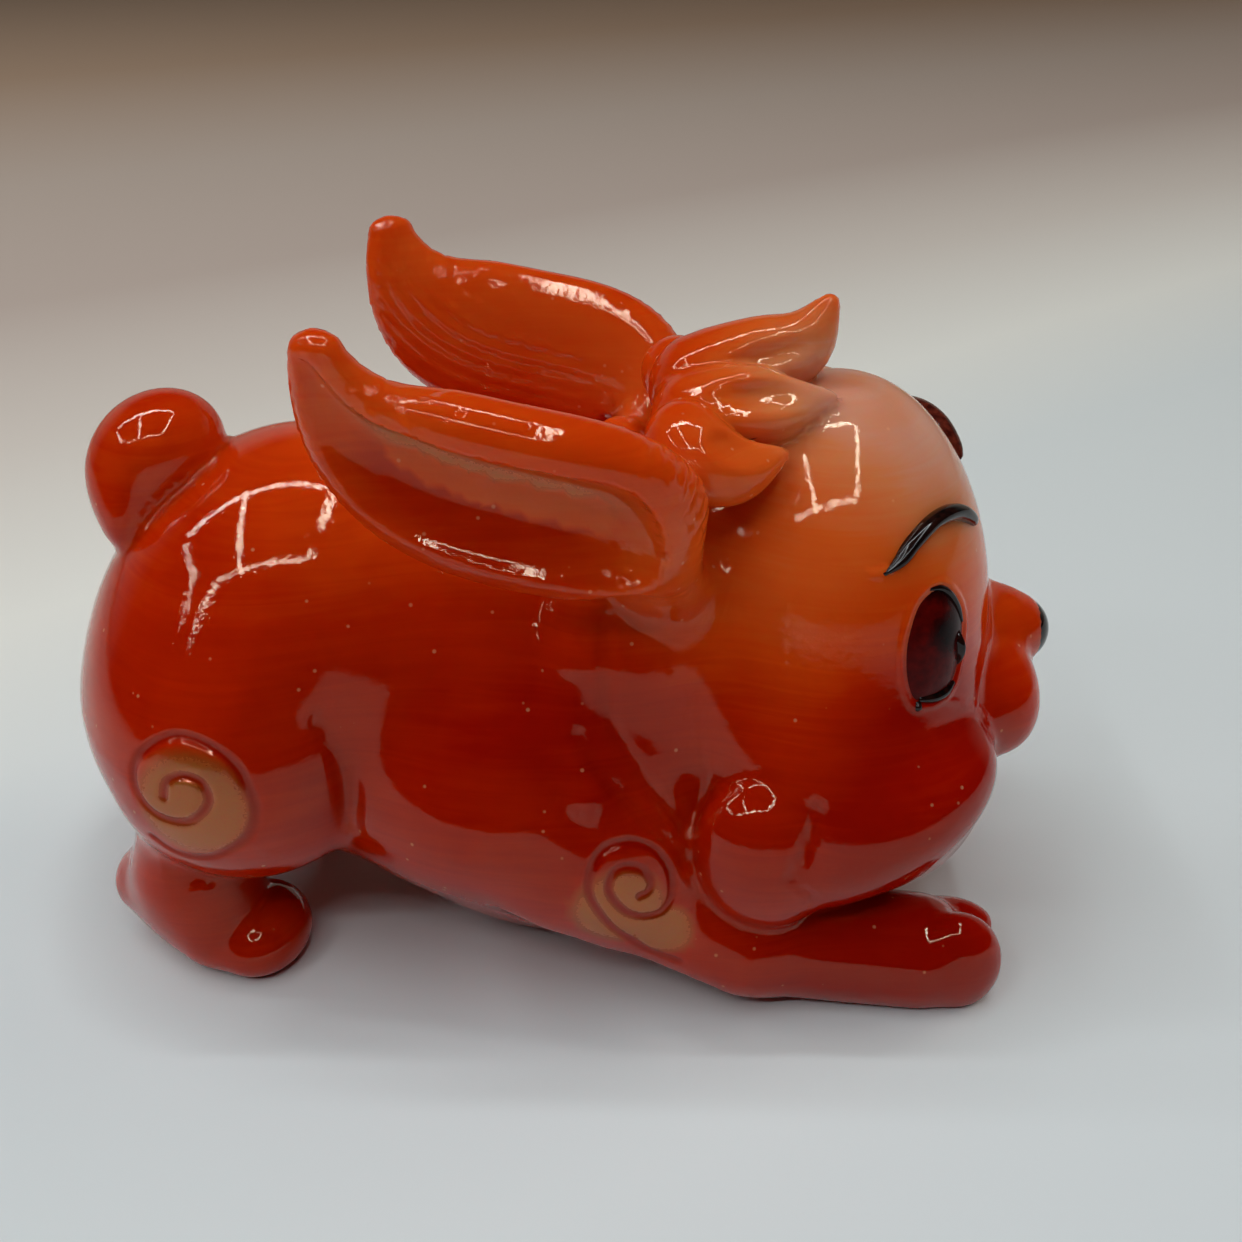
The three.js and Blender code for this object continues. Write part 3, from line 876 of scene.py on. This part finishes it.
def resin_material():
    """Polyester resin, cast and airbrushed, under clear lacquer. It glows a little, is darker where more red
    was sprayed, and keeps the streaks of stirred pigment and a few bubbles. The spray map also holds painted
    shade in the coils' grooves and painted light on the thin locks. The lacquer mirrors the room with a warm
    tint and has orange peel. The gold dust is rougher, under a coat of the same lacquer."""
    material = new_material("cast resin, airbrushed and lacquered")
    place = add_node(material, "TexCoord").outputs["Object"]
    red = add_node(material, "Attribute", attribute_name="red").outputs["Fac"]
    gold = add_node(material, "Attribute", attribute_name="gold").outputs["Fac"]
    # The streaks lie along the casting's length, in level layers.
    streak_sizes = (STREAK_LENGTH, STREAK_LENGTH, STREAK_THICKNESS)
    stretch = add_node(material, "Mapping", {0: place}, Scale=[1 / (size * MM) for size in streak_sizes])
    streaks = add_node(material, "TexNoise", {0: stretch.outputs[0]}, Scale=1.0, Detail=3.0, Distortion=1.6)
    mottle = add_node(material, "TexNoise", {0: place}, Scale=1 / (MOTTLE_SIZE * MM), Detail=2.0)
    streak_part = add_node(material, "MapRange", {0: streaks.outputs[0]},
                           From_Min=0.35, From_Max=0.7, To_Min=0.03, To_Max=-0.03)
    mottle_part = add_node(material, "MapRange", {0: mottle.outputs[0]},
                           From_Min=0.3, From_Max=0.7, To_Min=-0.04, To_Max=0.04)
    uneven = add_node(material, "Math", {0: streak_part.outputs[0], 1: mottle_part.outputs[0]},
                      operation="ADD")
    depth = add_node(material, "Math", {0: red, 1: uneven.outputs[0]}, operation="ADD")
    tone = add_node(material, "ValToRGB", {0: depth.outputs[0]})
    set_ramp(tone, RED_RAMP)
    bubbles = add_node(material, "TexVoronoi", {0: place}, Scale=1 / (BUBBLE_SPACING * MM))
    bubble = add_node(material, "MapRange", {0: bubbles.outputs["Distance"]},
                      From_Min=0.04, From_Max=0.085, To_Min=0.35, To_Max=0.0)
    speckled = add_node(material, "Mix", {0: bubble.outputs[0], 6: tone.outputs[0]}, data_type="RGBA")
    speckled.inputs[7].default_value = linear(BUBBLE_COLOUR)
    grain = add_node(material, "TexNoise", {0: place}, Scale=1 / (DUST_SIZE * MM), Detail=1.0)
    dusted = add_node(material, "MapRange", {0: grain.outputs[0]},
                      From_Min=0.3, From_Max=0.6, To_Min=0.7, To_Max=0.95)
    gilt = add_node(material, "Math", {0: gold, 1: dusted.outputs[0]}, operation="MULTIPLY")
    coloured = add_node(material, "Mix", {0: gilt.outputs[0], 6: speckled.outputs[2]}, data_type="RGBA")
    coloured.inputs[7].default_value = linear(GOLD_COLOUR)
    metal = add_node(material, "Math", {0: gilt.outputs[0]}, operation="MULTIPLY")
    metal.inputs[1].default_value = GOLD_METALLIC
    rough = add_node(material, "MapRange", {0: gilt.outputs[0]},
                     To_Min=LACQUER_ROUGHNESS, To_Max=GOLD_ROUGHNESS)
    peel = add_node(material, "TexNoise", {0: place}, Scale=1 / (PEEL_SIZE * MM), Detail=3.0)
    bump = add_node(material, "Bump", {"Height": peel.outputs[0]}, Strength=0.5, Distance=PEEL_HEIGHT * MM)
    resin = add_node(material, "BsdfPrincipled", {
        "Base Color": coloured.outputs[2], "Metallic": metal.outputs[0], "Roughness": rough.outputs[0],
        "Normal": bump.outputs[0], "Coat Normal": bump.outputs[0], "Coat Weight": gilt.outputs[0],
    }, IOR=LACQUER_IOR, Specular_Tint=linear(GLOSS_TINT), Coat_IOR=LACQUER_IOR,
        Coat_Roughness=LACQUER_ROUGHNESS, Subsurface_Weight=SCATTER_SHARE,
        Subsurface_Scale=SCATTER_DEPTH * MM, Subsurface_Radius=SCATTER_REACH)
    add_node(material, "OutputMaterial", {0: resin.outputs[0]})
    return material


def piece_of_rabbit(piece):
    """The piece stands for the casting's CAD node and rides its body, and the node's own part is hidden."""
    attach(piece, "root")
    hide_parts("rabbit")


casting = mesh_object("casting", figure_points, figure_faces, resin_material())
set_attribute(casting, "red", sprayed(folded(figure_points)))
set_attribute(casting, "gold", gilded(folded(figure_points)))
casting.data.normals_split_custom_set_from_vertices(unit(slope(carved_skin, figure_points)).tolist())
piece_of_rabbit(casting)


# The painted face. Enamel laid on the casting with a brush: an iris in each socket, two lid lines, a lash,
# a pupil bead and a brow. Each is a thin closed shell that follows the skin and sinks into it at its edge.
def closed_skin(rings):
    """Rings of points, rows by points around, as one closed skin: quads between neighbouring rings and a fan
    of triangles from a middle point at each end, turned outwards by the sign of the enclosed volume."""
    rows, around = rings.shape[:2]
    points = np.vstack([rings.reshape(-1, 3), rings[0].mean(0), rings[-1].mean(0)])
    quads = grid_faces(rows, around, closed=True)
    ring = np.arange(around)
    following = (ring + 1) % around
    start = np.stack([np.full(around, rows * around), following, ring], -1)
    end = np.stack([np.full(around, rows * around + 1), ring, following], -1)
    end[:, 1:] += (rows - 1) * around
    triangles = np.vstack([quads[:, :3], quads[:, [0, 2, 3]], start, end])
    a, b, c = (points[triangles[:, i]] for i in range(3))
    if (np.cross(a, b) * c).sum() < 0:
        quads, start, end = quads[:, ::-1], start[:, ::-1], end[:, ::-1]
    return points, quads.tolist() + start.tolist() + end.tolist()


def circle(radius, count):
    """count flat points evenly round a circle."""
    turn = np.linspace(0, 2 * math.pi, count, endpoint=False)
    return radius * np.stack([np.cos(turn), np.sin(turn)], -1)


def lens_rings(place, outline, heart, dome, sunk, out_rings=14, back_rings=6, around=72):
    """A lens on the skin. Its rings run from the heart to a smooth closed outline and back again under the
    skin. It stands dome high at the heart, falls with the ring's square and its rim is sunk."""
    rim = smooth_run(list(outline) + [outline[0]], around + 1)[:-1]
    share = np.concatenate([np.linspace(0.06, 1, out_rings), np.linspace(0.97, 0.1, back_rings)])
    flat = np.array(heart) + share[:, None, None] * (rim - np.array(heart))
    on_skin = laid_on(place, flat.reshape(-1, 2)).reshape(flat.shape[:2] + (3,))
    front = dome * (1 - share ** 2) - sunk * share ** 6
    height = np.where(np.arange(len(share)) < out_rings, front, -sunk - 0.4)
    return on_skin + height[:, None, None] * place[1], flat


def stroke_rings(place, path, half_widths, height, count=60, around=16):
    """A brush stroke: an oval carried along a path on the skin, its lower half sunk into it. Its half height
    keeps the same share of its half width all along."""
    line, widths = smooth_run(path, count), smooth_run(half_widths, count)
    ahead = unit(np.gradient(line, axis=0))
    sideways = np.stack([-ahead[:, 1], ahead[:, 0]], -1)
    angle = np.linspace(0, 2 * math.pi, around, endpoint=False)
    flat = line[:, None] + widths[:, None, None] * np.cos(angle)[None, :, None] * sideways[:, None]
    on_skin = laid_on(place, flat.reshape(-1, 2)).reshape(count, around, 3)
    rise = height * np.sin(angle)[None] * (widths / max(half_widths))[:, None]
    return on_skin + rise[..., None] * place[1]


def both_sides(name, points, faces, material, **attributes):
    """The piece on the far side, where y is positive, and its mirror image on the near side."""
    for side_name, side in (("far", 1), ("near", -1)):
        turned_faces = faces if side > 0 else [face[::-1] for face in faces]
        piece = mesh_object(f"{name}_{side_name}", points * (1, side, 1), turned_faces, material)
        for label, values in attributes.items():
            set_attribute(piece, label, values)
        piece_of_rabbit(piece)


def enamel_material(name, colour, glint):
    """Brushed enamel: dark, glossy and faintly ridged by the brush. The crests of the ridges are given a
    lighter, warmer tone, a painted glint.
    """
    material = new_material(name)
    place = add_node(material, "TexCoord").outputs["Object"]
    ridges = add_node(material, "TexNoise", {0: place}, Scale=1 / (BRUSH_RIDGE * MM), Detail=2.0)
    bump = add_node(material, "Bump", {"Height": ridges.outputs[0]},
                    Strength=0.15, Distance=RIDGE_HEIGHT * MM)
    tone = add_node(material, "ValToRGB", {0: ridges.outputs[0]})
    # Painted glint: the crests of the brush ridges take the lighter, warmer colour.
    set_ramp(tone, [(0.35, colour), (0.75, glint)])
    paint = add_node(material, "BsdfPrincipled", {"Base Color": tone.outputs[0], "Normal": bump.outputs[0]},
                     Roughness=ENAMEL_ROUGHNESS, IOR=1.35, Coat_Weight=0.15, Coat_Roughness=0.05)
    add_node(material, "OutputMaterial", {0: paint.outputs[0]})
    return material


def iris_material():
    """Red-black enamel under clear lacquer: wine red, darker towards the pupil and the lid."""
    material = new_material("iris enamel")
    dark = add_node(material, "Attribute", attribute_name="dark").outputs["Fac"]
    place = add_node(material, "TexCoord").outputs["Object"]
    flecks = add_node(material, "TexNoise", {0: place}, Scale=1 / (BRUSH_RIDGE * MM), Detail=2.0)
    fleck = add_node(material, "MapRange", {0: flecks.outputs[0]},
                     From_Min=0.3, From_Max=0.7, To_Min=-0.12, To_Max=0.12)
    depth = add_node(material, "Math", {0: dark, 1: fleck.outputs[0]}, operation="ADD")
    tone = add_node(material, "ValToRGB", {0: depth.outputs[0]})
    set_ramp(tone, [(0.0, "#640603"), (0.5, "#300202"), (1.0, "#070203")])
    paint = add_node(material, "BsdfPrincipled", {"Base Color": tone.outputs[0]}, Roughness=0.25, IOR=1.2)
    add_node(material, "OutputMaterial", {0: paint.outputs[0]})
    return material


# The brush leaves ridges 0.6 mm apart and 0.05 mm high.
BRUSH_RIDGE = 0.6
RIDGE_HEIGHT = 0.05
ENAMEL_ROUGHNESS = 0.12
PUPIL = (1.3, 0.85)
PUPIL_RADIUS = 1.3
LID_LINE = [(0.2, 4.65), (1.4, 4.45), (2.4, 3.7), (3.3, 2.4), (3.9, 0.9)]
LOWER_LID = [(-1.6, -4.3), (0, -4.55), (1.4, -4.45), (2.5, -4.0)]
LID_HEIGHT = 0.4
LASH_PLACE = (-1.8, -4.85)
LASH_RADIUS = 0.45
BEAD_OUTLINE = [(3.06, 0.82), (3.64, -0.26), (3.74, -1.74), (3.26, -2.76), (2.62, -1.8), (2.4, -0.38),
                (2.65, 0.43)]
BEAD_HEART = (3.15, -0.9)
BROW_LINE = [(-6.5, -2.6), (-5.2, -2.1), (-4, -1.25), (-2.45, -0.52), (-1, -0.1), (0.6, 0), (2.1, -0.2),
             (3.4, -0.7), (4.7, -1.45), (5.2, -1.9)]
BROW_SHIFT = (3.8, 4.0)
BROW_WIDTHS = [0.15, 0.5, 0.62, 0.66, 0.68, 0.72, 0.72, 0.66, 0.5, 0.3]

black_enamel = enamel_material("black enamel", "#050404", "#2a0f0a")
rings, flat = lens_rings(EYE_PLACE, EYE_OUTLINE, EYE_HEART, dome=0.75, sunk=0.12)
points, faces = closed_skin(rings)
flat = np.vstack([flat.reshape(-1, 2), flat[0].mean(0), flat[-1].mean(0)])
from_pupil = np.linalg.norm(flat - PUPIL, axis=1)
flat_to_space = ((0, 0), (0, 1))
from_lid = line_distance(np.pad(flat, flat_to_space), np.pad(smooth_run(LID_LINE, 30), flat_to_space), 9.0)
darkness = 0.25 + 0.65 * ramp(from_pupil / PUPIL_RADIUS, 1.6, 0.6) + 0.5 * ramp(from_lid, 1.3, 0.3)
both_sides("iris", points, faces, iris_material(), dark=np.clip(darkness, 0, 1))
for name, path, widths in (
        ("lid_line", LID_LINE, [0.15, 0.28, 0.32, 0.28, 0.15]),
        ("lower_lid", LOWER_LID, [0.25, 0.42, 0.42, 0.2])):
    rings = stroke_rings(EYE_PLACE, path, widths, LID_HEIGHT)
    both_sides(name, *closed_skin(rings), black_enamel)
rings, _ = lens_rings(EYE_PLACE, BEAD_OUTLINE, BEAD_HEART, dome=1.0, sunk=0.0, around=40)
both_sides("pupil_bead", *closed_skin(rings), black_enamel)
lash_outline = LASH_PLACE + circle(LASH_RADIUS, 8)
rings, _ = lens_rings(EYE_PLACE, lash_outline, LASH_PLACE, dome=0.4, sunk=0.0, around=32)
both_sides("lash", *closed_skin(rings), black_enamel)
# The brows aren't quite even. The far one is painted higher and nearer the middle, where the view just
# shows it, as thinner paint on a higher ridge, so the resin shows through it.
thin_enamel = enamel_material("thin enamel", "#3a0d08", "#6e2a1c")
for side_name, side, shift, height, enamel in (
        ("near", -1, (0, 0), 1.15, black_enamel),
        ("far", 1, BROW_SHIFT, 1.6, thin_enamel)):
    rings = stroke_rings(BROW_PLACE, np.array(BROW_LINE) + shift, BROW_WIDTHS, height)
    points, faces = closed_skin(rings * (1, side, 1))
    piece_of_rabbit(mesh_object("brow_" + side_name, points, faces, enamel))

# The nose tip. The button end of the nose, dipped in the same black enamel as the lids.
# It is one thin cap across the middle, and its edge sinks into the casting.
NOSE_PLACE = skin_frame((44.3, 0, 28.0))
NOSE_RADIUS = 2.75
rings, _ = lens_rings(NOSE_PLACE, circle(NOSE_RADIUS, 12), (0, 0), dome=0.3, sunk=0.1)
points, faces = closed_skin(rings)
piece_of_rabbit(mesh_object("nose_tip", points, faces, black_enamel))
